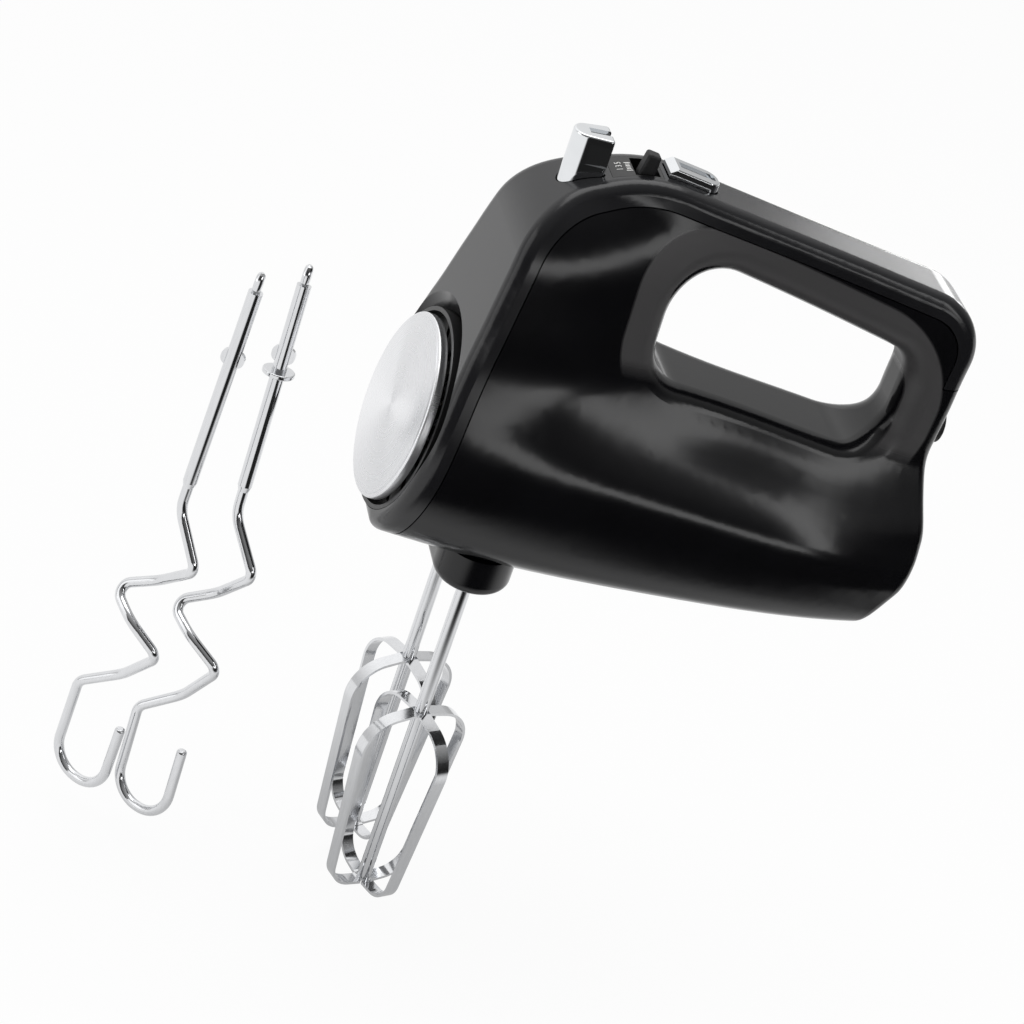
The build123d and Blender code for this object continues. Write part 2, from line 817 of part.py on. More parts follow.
def motor_screws():
    """Long screws through the bracket and the iron core into the gearbox frame."""
    screws = []
    for y, z in motor_screw_places:
        head = bar(y, z, bracket_rear, bracket_rear + screw_head_height, screw_head_radius)
        head = head - block((bracket_rear + 1.2, y - 3, z - 0.4), (bracket_rear + 3, y + 3, z + 0.4))
        screws.append(head + bar(y, z, frame_rear - frame_wall, bracket_rear, screw_radius))
    return group(screws)


def brush_holder(side):
    low, high = sorted((side * holder_start, side * holder_end))
    body = block(
        (brush_place - 4.2, low, motor_height - 4.4), (bracket_front, high, motor_height + 4.4)
    )
    way = brush_size / 2 + seat_gap
    return body - block(
        (brush_place - way, low - 1, motor_height - way), (brush_place + way, high + 1, motor_height + way)
    )


def carbon_brush(side):
    low, high = sorted((side * brush_start, side * (brush_start + brush_length)))
    reach = brush_size / 2
    return block(
        (brush_place - reach, low, motor_height - reach), (brush_place + reach, high, motor_height + reach)
    )


def brush_spring(side):
    """A small coil that presses a brush on to the commutator."""
    start = brush_start + brush_length
    spring = coil_spring(0, 0, start, holder_end - 1.3, 1.7, 0.3, 4)
    return Pos(brush_place, 0, motor_height) * Rot(-90 * side, 0, 0) * spring


def brush_cap(side):
    low, high = sorted((side * (holder_end - 1.3), side * (holder_end + 1.2)))
    reach = brush_size / 2
    return block(
        (brush_place - reach, low, motor_height - reach), (brush_place + reach, high, motor_height + reach)
    )


# Eject: button, stem with yoke and pins, guide and return spring

post_bore_depth = 6.0


def eject_button():
    body = extrude(Pos(0, 0, post_bottom) * post_plan(0.0), amount=post_top - post_bottom)
    body = fillet(body.faces().sort_by(Axis.Z)[-1].edges(), 0.7)
    flute_wall = post_shoulder_half_width + 0.1
    for side in sides.values():
        low, high = sorted((side * flute_wall, side * (post_rear_half_width + 5)))
        body = body - block(
            (post_shoulder + 1.2, low, deck_line(post_front) + 6.5), (post_rear + 1, high, post_top - 2.4)
        )
    groove = block((post_shoulder + 1.0, -1.6, post_top - 1.3), (post_rear + 1, 1.6, post_top + 1))
    return body - groove - post(stem_place, 0, post_bottom - 1, post_bottom + post_bore_depth, stem_radius + weld_gap)


def eject_yoke():
    """Stem, cross-bar and the two pins that push the beaters out of their sockets."""
    stem = post(stem_place, 0, yoke_bottom, post_bottom + post_bore_depth - 0.1, stem_radius)
    yoke = block(
        (stem_place - 4.5, -beater_place - 4, yoke_bottom), (4.0, beater_place + 4, yoke_bottom + yoke_thickness)
    )
    pins = [
        post(0, side * beater_place, shaft_tip_height + 0.3, yoke_bottom + 1, shaft_radius - 0.2)
        for side in sides.values()
    ]
    return yoke + stem + pins


def eject_guide():
    """A web across the neck that guides the stem and carries the spring."""
    web = block(
        (nose_top, -bulge_half_width, guide_bottom), (12.0, bulge_half_width, guide_bottom + guide_thickness)
    )
    web = web & inner_form
    web = web - post(stem_place, 0, guide_bottom - 1, guide_bottom + guide_thickness + 1, stem_radius + 0.1)
    return web - [cross_bar(x, z, -30, 30, screw_post_radius + seat_gap) for x, z in screw_places]


spring_wire = 0.5
spring_radius = stem_radius + spring_wire + 0.5


def eject_spring():
    low = guide_bottom + guide_thickness
    return coil_spring(stem_place, 0, low + 0.05, post_bottom - 0.05, spring_radius, spring_wire, 7)


# Speed slider on its panel, turbo button, and the board under them

slider_floor = deck_line(slider_place) - 5.4
slider_slot_front = slider_place - 3.9
slider_slot_rear = slider_place + 3.9
slider_reach = 3.3
slider_half_width = slider_fin_width / 2 + 0.5


def control_panel():
    skin_band = slab(rounded(outline, outline_radii)) - slab(rounded(outline, outline_radii, panel_thickness + 2.6))
    plate = skin_band & block(
        (panel_front + seat_gap, -panel_half_width + seat_gap, board_bottom),
        (panel_rear - seat_gap, panel_half_width - seat_gap, handle_height + 10),
    )
    recess = block(
        (slider_slot_front, -panel_half_width + 0.9, slider_floor), (slider_slot_rear, panel_half_width - 0.9, post_top)
    )
    slot_reach = slider_travel / 2 + 2.0
    slot = block((slider_place - 1.3, -slot_reach, board_bottom), (slider_place + 1.3, slot_reach, post_top))
    return plate - recess - slot


def speed_slider():
    base_top = slider_floor + 1.6
    base = block(
        (slider_place - slider_reach, -slider_half_width, slider_floor + seat_gap),
        (slider_place + slider_reach, slider_half_width, base_top),
    )
    lean = 0.6
    fin = Polyline(
        (slider_place - slider_reach, base_top - 0.5),
        (slider_place + slider_fin_thickness / 2, base_top - 0.5),
        (slider_place + slider_fin_thickness / 2 + lean, slider_fin_top - 0.8),
        (slider_place - slider_fin_thickness / 2 + lean, slider_fin_top),
        close=True,
    )
    blade = extrude(Plane.XZ * make_face(fin), amount=slider_fin_width / 2, both=True)
    blade = fillet(blade.edges().filter_by_position(Axis.Z, base_top, post_top), 0.9)
    shank = block((slider_place - 1.1, -1.4, switch_top + 0.1), (slider_place + 1.1, 1.4, slider_floor + 0.5))
    return Pos(0, slider_rest, 0) * (base + blade + shank)


switch_top = board_bottom + board_thickness + 2.0


def speed_switch():
    return block(
        (slider_place - 4.5, -7.0, board_bottom + board_thickness), (slider_place + 4.5, 7.0, switch_top)
    )


def control_board():
    board = block(
        (4.5, -bulge_half_width, board_bottom), (46.0, bulge_half_width, board_bottom + board_thickness)
    )
    return board & inner_form


def turbo_top(height):
    """Everything above a line that runs along the handle at a height over it."""
    front, rear = turbo_front - 5, turbo_rear + 5
    face = Polyline(
        (front, handle_line(front) + height),
        (rear, handle_line(rear) + height),
        (rear, handle_height + 20),
        (front, handle_height + 20),
        close=True,
    )
    return slab(Plane.XZ * make_face(face))


def turbo_button():
    cap = extrude(Pos(0, 0, turbo_foot) * turbo_plan(0.0), amount=30) - turbo_top(turbo_proud)
    cap = fillet(cap.faces().sort_by(Axis.Z)[-1].edges(), 0.7)
    edge = handle_line(turbo_front) + turbo_proud
    ramp = Polyline(
        (turbo_front - 1, edge - 2.6), (turbo_front + 3.4, edge + 0.1), (turbo_front - 1, edge + 0.1), close=True
    )
    cap = cap - extrude(Plane.XZ * make_face(ramp), amount=20, both=True)
    groove = block((turbo_front + 3.6, -1.7, turbo_foot), (turbo_rear - 1.6, 1.7, handle_height + 10))
    flange = extrude(Pos(0, 0, turbo_foot) * turbo_plan(0.9), amount=1.4)
    return cap + flange - (groove & turbo_top(turbo_proud - 1.2))


turbo_middle = (turbo_front + turbo_rear) / 2


def turbo_switch():
    base = board_bottom + board_thickness
    body = block((turbo_middle + 3.0, -4.0, base), (turbo_middle + 8.0, 4.0, base + 2.0))
    return body + post(turbo_middle + 5.5, 0, base + 2.0, turbo_foot - turbo_travel - 0.1, 1.2)


def turbo_spring():
    return coil_spring(turbo_middle - 2.0, 0, board_bottom + board_thickness + 0.05, turbo_foot - 0.05, 2.4, 0.4, 3)


# Beaters: a shaft with four strip blades welded to it at the top and bottom

def tool_tip():
    """The bullet tip and the two driving ears of a shaft that fits the sockets, tip at zero."""
    radius = shaft_tip_diameter / 2
    neck = (radius - 0.4, -shaft_tip_length)
    shoulder = (radius - 0.6, -0.6)
    side = ThreePointArc(neck, (radius, -shaft_tip_length / 2), shoulder)
    ends = Polyline(shoulder, (radius - 1.2, 0), (0, 0), (0, -shaft_tip_length), neck)
    nose = revolve(Plane.XZ * make_face([side, ends]), Axis.Z)
    nose = nose & Box(1.5 * radius, 4 * radius, 4 * shaft_tip_length)
    ears = Pos(0, 0, -ear_drop - ear_height) * Box(ear_span, ear_thickness, ear_height, align=CENTRE)
    ears = fillet(ears.edges().filter_by(Axis.Y), 2.4)
    return Rot(0, 0, blade_turn) * (nose + ears)


def beater_shaft(side):
    shaft = Cylinder(shaft_radius, shaft_tip_height - shaft_tip_length - weld_gap, align=CENTRE)
    shaft = fillet(shaft.edges().sort_by(Axis.Z)[0], 1.2)
    whole = Pos(0, 0, weld_gap) * shaft + Pos(0, 0, shaft_tip_height) * tool_tip()
    return Pos(0, side * beater_place, 0) * whole


def blade_strip():
    """One strip blade in the plane y = 0, from the shaft out, down and back to the shaft."""
    start = shaft_radius + weld_gap
    shoulder_drop = 3.0
    foot_rise = 1.6
    outer = [
        (start, beater_head_height),
        (beater_head_top_width / 2, beater_head_height - shoulder_drop),
        (beater_head_foot_width / 2, foot_rise),
        (start, 0.0),
    ]
    line = Polyline(*outer)
    face = make_face([line, Line(outer[-1], outer[0])])
    for place, radius in ((outer[1], 13.0), (outer[2], 10.0)):
        face = fillet(face.vertices().sort_by_distance(Vector(*place))[0], radius)
    hollow = offset(face, amount=-blade_thickness, kind=Kind.INTERSECTION)
    hollow = hollow + Pos(start, beater_head_height / 2) * Rectangle(4.0, beater_head_height - 2.6)
    strip = Plane.XZ * (face - hollow)
    return extrude(strip, amount=blade_width / 2, both=True)


def beater_blades(side):
    strip = blade_strip()
    return group(
        Pos(0, side * beater_place, 0) * Rot(0, 0, blade_turn + 90 * i) * strip for i in range(4)
    )


# Dough hooks: a shank that necks down to a wire bent into a coil and a bow

def hook_wire():
    """The wire from the neck down, swinging right, behind, left, in front and ending in a bow."""
    low = hook_wire_radius
    left_leg, right_leg = -15.7, 6.1
    route = FilletPolyline(
        (0, 0, hook_shank_foot),
        (0, 0, 119.0),
        (13.1, 0, 102.0),
        (-0.8, 4.0, 88.0),
        (-14.8, 0, 78.6),
        (-2.0, -4.0, 73.4),
        (10.6, 0, 64.5),
        (-2.4, 4.0, 47.2),
        (left_leg, 0, 36.5),
        (left_leg, 0, low),
        (right_leg, 0, low),
        (right_leg, 0, 31.0),
        radius=[12.0, 4.0, 14.0, 4.0, 14.0, 4.0, 14.0, 5.0, hook_bow_radius, hook_bow_radius],
    )
    ring = Plane(origin=route @ 0, z_dir=route % 0) * Circle(hook_wire_radius)
    wire = sweep(ring, path=route)
    return fillet(wire.faces().sort_by_distance(Vector(right_leg, 0, 31.0))[0].edges(), 1.0)


def hook_stand(index):
    """The place and lean of one hook on the ground."""
    side, back = hook_leans[index]
    lean = Rot(0, 0, hook_turn) * Rot(0, side, 0) * Rot(-back, 0, 0)
    return Pos(*hook_places[index]) * lean * Rot(0, 0, hook_coil_turn)


def dough_hook(index):
    shank_top = hook_length - shaft_tip_length
    shank = post(0, 0, hook_shank_foot + 2.0, shank_top, shaft_radius)
    neck = Pos(0, 0, hook_shank_foot) * Cone(hook_wire_radius, shaft_radius, 2.0, align=CENTRE)
    return hook_stand(index) * (hook_wire() + neck + shank + Pos(0, 0, hook_length) * tool_tip())


def hook_collar(index):
    middle = hook_length - hook_collar_drop - ear_height
    ring = post(0, 0, middle - 0.8, middle + 0.8, hook_collar_radius)
    ring = fillet(ring.edges(), 0.4)
    return hook_stand(index) * (ring - post(0, 0, middle - 2, middle + 2, shaft_radius + weld_gap))


def main():
    nodes = {
        "top_cover": top_cover(),
        "nose_dish": nose_dish(),
        "front_disc": front_disc(),
        "control_panel": control_panel(),
        "cord_inlet": cord_inlet(),
        "housing_screws": group(housing_screw(x, z) for x, z in screw_places),
        "gearbox_frame": gearbox_frame(),
        "gearbox_cover": gearbox_cover(),
        "gearbox_cover_screws": cover_screws(),
        "front_bearing": shaft_bearing(frame_front, frame_front + frame_wall),
        "middle_bearing": shaft_bearing(frame_rear - frame_wall, frame_rear),
        "rear_bearing": shaft_bearing(bracket_front, bracket_rear + 1.5),
        "rear_bracket": rear_bracket(),
        "motor_screws": motor_screws(),
        "stator_core": stator_core(),
        "field_coils": field_coils(),
        "brush_holders": group(brush_holder(side) for side in sides.values()),
        "carbon_brushes": group(carbon_brush(side) for side in sides.values()),
        "brush_springs": group(brush_spring(side) for side in sides.values()),
        "brush_caps": group(brush_cap(side) for side in sides.values()),
        "armature_shaft": armature_shaft(),
        "armature_core": armature_core(),
        "armature_winding": armature_winding(),
        "commutator": commutator(),
        "cooling_fan": cooling_fan(),
        "eject_button": eject_button(),
        "eject_yoke": eject_yoke(),
        "eject_guide": eject_guide(),
        "eject_spring": eject_spring(),
        "speed_slider": speed_slider(),
        "speed_switch": speed_switch(),
        "control_board": control_board(),
        "turbo_button": turbo_button(),
        "turbo_switch": turbo_switch(),
        "turbo_spring": turbo_spring(),
    }
    for name, side in sides.items():
        nodes[name + "_shell"] = side_shell(side)
        nodes[name + "_gear"] = drive_gear(side)
        nodes[name + "_spindle"] = spindle(side)
        nodes[name + "_spindle_clip"] = spindle_clip(side)
        nodes[name + "_spindle_bushes"] = spindle_bushes(side)
        nodes[name + "_beater_shaft"] = beater_shaft(side)
        nodes[name + "_beater_blades"] = beater_blades(side)
    for index, name in enumerate(sides):
        nodes[name + "_dough_hook"] = dough_hook(index)
    nodes["right_hook_collar"] = hook_collar(1)
    os.makedirs("parts", exist_ok=True)
    for name, shape in nodes.items():
        export_step(shape, "parts/" + name + ".step")


main()
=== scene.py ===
from math import cos, pi, radians, sin

import bpy
from mathutils import Matrix, Quaternion, Vector


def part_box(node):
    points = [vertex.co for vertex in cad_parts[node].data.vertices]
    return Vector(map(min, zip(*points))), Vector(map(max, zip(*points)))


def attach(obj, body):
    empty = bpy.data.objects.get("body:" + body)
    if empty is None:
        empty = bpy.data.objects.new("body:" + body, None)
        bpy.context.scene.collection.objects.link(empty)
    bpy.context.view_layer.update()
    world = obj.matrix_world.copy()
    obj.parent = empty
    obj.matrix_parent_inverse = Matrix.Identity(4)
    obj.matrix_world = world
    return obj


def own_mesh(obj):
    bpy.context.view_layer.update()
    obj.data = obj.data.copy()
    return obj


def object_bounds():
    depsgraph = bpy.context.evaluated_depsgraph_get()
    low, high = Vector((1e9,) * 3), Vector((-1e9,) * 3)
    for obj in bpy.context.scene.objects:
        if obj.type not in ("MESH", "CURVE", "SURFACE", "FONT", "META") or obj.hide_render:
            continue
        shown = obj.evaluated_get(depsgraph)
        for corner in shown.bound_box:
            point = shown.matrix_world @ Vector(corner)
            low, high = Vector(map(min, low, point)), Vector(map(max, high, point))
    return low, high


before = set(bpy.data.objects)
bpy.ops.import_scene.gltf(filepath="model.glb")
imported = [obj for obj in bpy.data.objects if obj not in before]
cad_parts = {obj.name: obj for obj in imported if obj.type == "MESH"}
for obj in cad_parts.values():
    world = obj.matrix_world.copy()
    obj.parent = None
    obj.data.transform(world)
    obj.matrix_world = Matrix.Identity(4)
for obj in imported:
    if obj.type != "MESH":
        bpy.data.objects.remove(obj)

cad_box = [list(corner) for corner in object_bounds()]


# Side shells: two mirror-polished black ABS mouldings that meet along the middle and hold everything
# between them. The polish gives deep clear reflections, with the faint waviness of a thick moulding.

def linear(code):
    """A linear colour from an sRGB hex value."""
    shares = [int(code[i:i + 2], 16) / 255 for i in (1, 3, 5)]
    return [s / 12.92 if s <= 0.04045 else ((s + 0.055) / 1.055) ** 2.4 for s in shares] + [1.0]


def add_node(tree, kind, inputs=None, **settings):
    """A node with its settings, and its inputs set to values or linked to other sockets."""
    node = tree.nodes.new(kind)
    for name, value in settings.items():
        setattr(node, name, value)
    for socket, value in (inputs or {}).items():
        if isinstance(value, bpy.types.NodeSocket):
            tree.links.new(value, node.inputs[socket])
        else:
            node.inputs[socket].default_value = value
    return node


def new_material(name):
    """An empty node material with its shader and the piece's own coordinates."""
    material = bpy.data.materials.new(name)
    material.use_nodes = True
    tree = material.node_tree
    shader = tree.nodes["Principled BSDF"]
    place = add_node(tree, "ShaderNodeTexCoord").outputs["Object"]
    return material, tree, shader, place


def per_mm(size):
    """The texture scale at which one feature is as many millimetres across."""
    return 1000.0 / size


def work_out(tree, operation, *values):
    """The result of one sum on values or sockets."""
    return add_node(tree, "ShaderNodeMath", dict(enumerate(values)), operation=operation).outputs["Value"]


def ramp(tree, value, start, end, low=0.0, high=1.0, **settings):
    """A value that runs from low to high while another runs from start to end."""
    inputs = {"Value": value, "From Min": start, "From Max": end, "To Min": low, "To Max": high}
    return add_node(tree, "ShaderNodeMapRange", inputs, **settings).outputs["Result"]


def noise(tree, place, size, detail):
    """Cloudy noise with patches about as many millimetres across."""
    inputs = {"Vector": place, "Scale": per_mm(size), "Detail": detail}
    return add_node(tree, "ShaderNodeTexNoise", inputs).outputs["Fac"]


def blend_colours(tree, factor, first, second):
    """A colour that runs from the first to the second."""
    inputs = {"Factor": factor, "A": first, "B": second}
    return add_node(tree, "ShaderNodeMix", inputs, data_type="RGBA").outputs["Result"]


def emboss(tree, pattern, strength, depth):
    """The surface follows a pattern, with a depth in millimetres."""
    inputs = {"Height": pattern, "Strength": strength, "Distance": depth / 1000}
    dent = add_node(tree, "ShaderNodeBump", inputs)
    tree.links.new(dent.outputs["Normal"], tree.nodes["Principled BSDF"].inputs["Normal"])


def dress(material, *names):
    """CAD nodes take a material."""
    for name in names:
        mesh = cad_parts[name].data
        mesh.materials.clear()
        mesh.materials.append(material)


gloss_abs, tree, shader, place = new_material("gloss_black_abs")
shader.inputs["IOR"].default_value = 1.5
shader.inputs["Specular IOR Level"].default_value = 0.42

# Painted sheen round the hand hole: a band outside the rim, on the front, top and rear, is lighter and
# rougher.
hole_front, hole_rear = 0.034, 0.120
ceiling_start, ceiling_slope = 0.2643, -0.253
ground_start, ground_slope = 0.2204, -0.184
hole_corner = 0.014
rim_width, rim_edge = 0.0014, 0.0008
band_reach, band_edge = 0.0134, 0.0010
band_fade = 0.006
satin_roughness = 0.42
parts = add_node(tree, "ShaderNodeSeparateXYZ", {"Vector": place}).outputs
ceiling = work_out(tree, "MULTIPLY_ADD", parts["X"], ceiling_slope, ceiling_start - hole_corner)
ground = work_out(tree, "MULTIPLY_ADD", parts["X"], ground_slope, ground_start + hole_corner)
ahead = work_out(tree, "SUBTRACT", hole_front + hole_corner, parts["X"])
behind = work_out(tree, "SUBTRACT", parts["X"], hole_rear - hole_corner)
above = work_out(tree, "SUBTRACT", parts["Z"], ceiling)
below = work_out(tree, "SUBTRACT", ground, parts["Z"])
outward = add_node(tree, "ShaderNodeCombineXYZ", {
    "X": work_out(tree, "MAXIMUM", work_out(tree, "MAXIMUM", ahead, behind), 0.0),
    "Y": work_out(tree, "MAXIMUM", work_out(tree, "MAXIMUM", above, below), 0.0),
}).outputs["Vector"]
reach = add_node(tree, "ShaderNodeVectorMath", {0: outward}, operation="LENGTH").outputs["Value"]
past_rim = hole_corner + rim_width
past_band = hole_corner + band_reach
inner = ramp(tree, reach, past_rim, past_rim + rim_edge)
outer = ramp(tree, reach, past_band, past_band + band_edge, 1.0, 0.0)
raised = ramp(tree, below, hole_corner, hole_corner - band_fade)
satin_and_painted_sheen = work_out(tree, "MULTIPLY", work_out(tree, "MULTIPLY", inner, outer), raised)

haze = noise(tree, place, 18, 3.0)
polished = blend_colours(tree, haze, linear("#0a0a0c"), linear("#101013"))
# The band's lighter grey is a painted sheen; its higher roughness below is a satin finish.
tone = blend_colours(tree, satin_and_painted_sheen, polished, linear("#484748"))
tree.links.new(tone, shader.inputs["Base Color"])
polish = ramp(tree, haze, 0.0, 1.0, 0.13, 0.18)
roughness = work_out(tree, "MAXIMUM", polish, work_out(tree, "MULTIPLY", satin_and_painted_sheen, satin_roughness))
tree.links.new(roughness, shader.inputs["Roughness"])
emboss(tree, noise(tree, place, 26, 1.0), 0.12, 0.25)
dress(gloss_abs, "left_shell", "right_shell")


# Housing screws: four pan-head screws of zinc-plated steel, driven through the right shell into posts of the
# left one. The screws of the gearbox cover and the long motor screws are plated in the same way.

def tint(tree, pattern, first, second):
    """The base colour follows a pattern between two sRGB hex values."""
    tone = blend_colours(tree, pattern, linear(first), linear(second))
    tree.links.new(tone, tree.nodes["Principled BSDF"].inputs["Base Color"])


def roughen(tree, pattern, smooth, rough):
    """The roughness follows a pattern between two values."""
    polish = ramp(tree, pattern, 0.0, 1.0, smooth, rough)
    tree.links.new(polish, tree.nodes["Principled BSDF"].inputs["Roughness"])


plated, tree, shader, place = new_material("zinc_plated_steel")
shader.inputs["Metallic"].default_value = 1.0
stain = noise(tree, place, 1.5, 4.0)
tint(tree, stain, "#a9abad", "#c4c6c8")
roughen(tree, stain, 0.25, 0.42)
dress(plated, "housing_screws", "gearbox_cover_screws", "motor_screws")


# Top cover: one long black ABS moulding that clips over both shells, from the nose foot over the front and
# the top to the rear of the handle. Its polish is softer than that of the shells.

cover_abs, tree, shader, place = new_material("soft_gloss_black_abs")
shader.inputs["IOR"].default_value = 1.5
shader.inputs["Specular IOR Level"].default_value = 0.48
haze = noise(tree, place, 14, 3.0)
tint(tree, haze, "#18181a", "#1f1f22")
roughen(tree, haze, 0.16, 0.24)
emboss(tree, noise(tree, place, 24, 1.0), 0.06, 0.2)
dress(cover_abs, "top_cover")


# Nose dish: a black ABS cup with vent slots, set into the nose from outside. Its spark-eroded mould leaves
# an even satin grain.

satin_abs, tree, shader, place = new_material("satin_black_abs")
shader.inputs["IOR"].default_value = 1.5
grain = noise(tree, place, 0.5, 2.0)
tint(tree, grain, "#0e0e0f", "#171718")
roughen(tree, grain, 0.30, 0.45)
emboss(tree, grain, 0.15, 0.05)
dress(satin_abs, "nose_dish")


# Front disc: a spun aluminium cap pressed on the hub of the dish. The tool marks run round its axis, so the
# light spreads out across them in a bright fan.

disc_low, disc_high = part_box("front_disc")
disc_middle = (disc_low + disc_high) / 2
disc_lean = radians(9.7)
disc_axis = Vector((-cos(disc_lean), 0, sin(disc_lean)))
# Real tool marks are 0.1 mm apart and would not show, so they are drawn wider.
mark_width = 0.7

spun, tree, shader, place = new_material("spun_aluminium")
shader.inputs["Metallic"].default_value = 1.0
shader.inputs["Anisotropic"].default_value = 0.9
offset = add_node(tree, "ShaderNodeVectorMath", {0: place, 1: disc_middle}, operation="SUBTRACT")
round_way = add_node(tree, "ShaderNodeVectorMath", {
    0: disc_axis, 1: offset.outputs["Vector"],
}, operation="CROSS_PRODUCT").outputs["Vector"]
tree.links.new(round_way, shader.inputs["Tangent"])
radius = add_node(tree, "ShaderNodeVectorMath", {0: round_way}, operation="LENGTH").outputs["Value"]
marks = add_node(tree, "ShaderNodeTexNoise", {
    "W": work_out(tree, "MULTIPLY", radius, per_mm(mark_width)), "Scale": 1.0, "Detail": 3.0,
}, noise_dimensions="1D").outputs["Fac"]
tint(tree, marks, "#e6e7e9", "#f2f2f4")
roughen(tree, marks, 0.25, 0.31)
emboss(tree, marks, 0.05, 0.04)
dress(spun, "front_disc")


# Gearbox: a die-cast alloy frame and cover that carry the worm and both gears, and a stamped rear bracket
# for the motor. The casting is dull, with a fine skin from the die.

cast_alloy, tree, shader, place = new_material("die_cast_alloy")
shader.inputs["Metallic"].default_value = 1.0
grain = noise(tree, place, 0.8, 5.0)
tint(tree, grain, "#8d9093", "#b4b7ba")
roughen(tree, grain, 0.42, 0.6)
emboss(tree, grain, 0.3, 0.08)
dress(cast_alloy, "gearbox_frame", "gearbox_cover", "rear_bracket")


# Plain bearings: sleeves round the armature shaft and flanged bushes round the spindles, in oil-soaked
# sintered bronze, speckled by its open pores.

bronze, tree, shader, place = new_material("sintered_bronze")
shader.inputs["Metallic"].default_value = 1.0
shader.inputs["Roughness"].default_value = 0.45
pores = add_node(tree, "ShaderNodeTexVoronoi", {"Vector": place, "Scale": per_mm(0.4)})
tint(tree, pores.outputs["Distance"], "#7a5631", "#b98b52")
dress(bronze, "front_bearing", "middle_bearing", "rear_bearing")
dress(bronze, "left_spindle_bushes", "right_spindle_bushes")


# Motor iron: the stator and armature cores are stacks of stamped electrical steel sheets. The sheets are too
# thin to show, so bundles of them are drawn, with dark edges between.

def bands(tree, place, width, direction, **inputs):
    """Even bands, about as many millimetres from one to the next."""
    period = 2 * pi / 20  # of the wave texture at a scale of one
    inputs = {"Vector": place, "Scale": period * per_mm(width)} | inputs
    return add_node(tree, "ShaderNodeTexWave", inputs, bands_direction=direction).outputs["Fac"]


sheet_steel, tree, shader, place = new_material("electrical_steel_sheets")
shader.inputs["Metallic"].default_value = 1.0
shader.inputs["Roughness"].default_value = 0.48
sheets = bands(tree, place, 3.14, "X")
tint(tree, sheets, "#4b4c50", "#84868a")
emboss(tree, sheets, 0.4, 0.1)
dress(sheet_steel, "stator_core", "armature_core")


# Windings: enamelled copper wire, wound round the poles of the stator and through the slots of the armature,
# drawn as bundles of turns, and the copper bars of the commutator.

copper, tree, shader, place = new_material("enamelled_copper_wire")
shader.inputs["Metallic"].default_value = 1.0
shader.inputs["Roughness"].default_value = 0.3
turns = bands(tree, place, 3.77, "DIAGONAL", Distortion=1.5, Detail=2.0)
tint(tree, turns, "#7d3a1d", "#c9713f")
emboss(tree, turns, 0.6, 0.2)
dress(copper, "field_coils", "armature_winding", "commutator")


# Brush gear: pressed carbon blocks in moulded nylon holders, held on the commutator by small springs under
# brass caps. The guide and yoke of the eject button and both switches are moulded in the same nylon.

carbon, tree, shader, place = new_material("pressed_carbon")
shader.inputs["Roughness"].default_value = 0.6
tint(tree, noise(tree, place, 0.3, 4.0), "#161616", "#2c2c2d")
dress(carbon, "carbon_brushes")

brass, tree, shader, place = new_material("pressed_brass")
shader.inputs["Metallic"].default_value = 1.0
shader.inputs["Roughness"].default_value = 0.3
tint(tree, noise(tree, place, 2, 3.0), "#a8823e", "#cfab63")
dress(brass, "brush_caps")

moulded, tree, shader, place = new_material("moulded_dark_nylon")
shader.inputs["Roughness"].default_value = 0.5
grain = noise(tree, place, 0.7, 3.0)
tint(tree, grain, "#3a3a3d", "#4b4b4f")
emboss(tree, grain, 0.2, 0.05)
dress(moulded, "brush_holders", "eject_guide", "eject_yoke", "speed_switch", "turbo_switch")


# Shafts: the armature shaft with its rolled worm, and the two socket spindles with their clips, in ground
# steel. They turn in the bronze bearings.

ground_steel, tree, shader, place = new_material("ground_steel")
shader.inputs["Metallic"].default_value = 1.0
lines = noise(tree, place, 0.4, 3.0)
tint(tree, lines, "#a0a2a5", "#bfc1c4")
roughen(tree, lines, 0.2, 0.34)
dress(ground_steel, "armature_shaft")
for side in ("left", "right"):
    dress(ground_steel, side + "_spindle", side + "_spindle_clip")


# Gears and fan: moulded in natural nylon, slightly waxy and uneven in tone, and pressed on the spindles and
# the armature shaft.

nylon, tree, shader, place = new_material("natural_nylon")
shader.inputs["Roughness"].default_value = 0.4
shader.inputs["Subsurface Weight"].default_value = 0.1
tint(tree, noise(tree, place, 5, 3.0), "#d9d4c4", "#ebe7da")
dress(nylon, "left_gear", "right_gear", "cooling_fan")


# Springs: hard-drawn steel wire, wound cold, under the eject button, the turbo button and behind the brushes.
# On the mixer those of the buttons shorten by the stroke of the button; here they get meshes of their own.

spring_wire, tree, shader, place = new_material("spring_steel_wire")
shader.inputs["Metallic"].default_value = 1.0
shader.inputs["Roughness"].default_value = 0.3
tint(tree, noise(tree, place, 0.5, 2.0), "#8e9093", "#aeb0b3")
dress(spring_wire, "eject_spring", "turbo_spring", "brush_springs")
for button, stroke in (("eject", 0.009), ("turbo", 0.002)):
    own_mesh(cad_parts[button + "_spring"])


# Eject and turbo buttons: ABS mouldings with a bright chrome plate, pressed down through the cover. The plate
# is mirror-bright and follows the slight waviness of the plastic under it.

button_chrome, tree, shader, place = new_material("chrome_plated_abs")
shader.inputs["Metallic"].default_value = 1.0
wave = noise(tree, place, 7, 1.0)
tint(tree, wave, "#dfe1e3", "#eceef0")
roughen(tree, wave, 0.04, 0.09)
emboss(tree, wave, 0.2, 0.1)
dress(button_chrome, "eject_button", "turbo_button")


# Control panel: a satin black ABS plate let into the cover behind the eject button, with the slider's slot.
# Its scale is pad printed in white: a tick for each step of the slider, and a number for every other one.

dress(satin_abs, "control_panel")

printed, tree, shader, place = new_material("white_pad_print")
shader.inputs["Roughness"].default_value = 0.5
tint(tree, noise(tree, place, 0.3, 2.0), "#ececea", "#fafaf8")

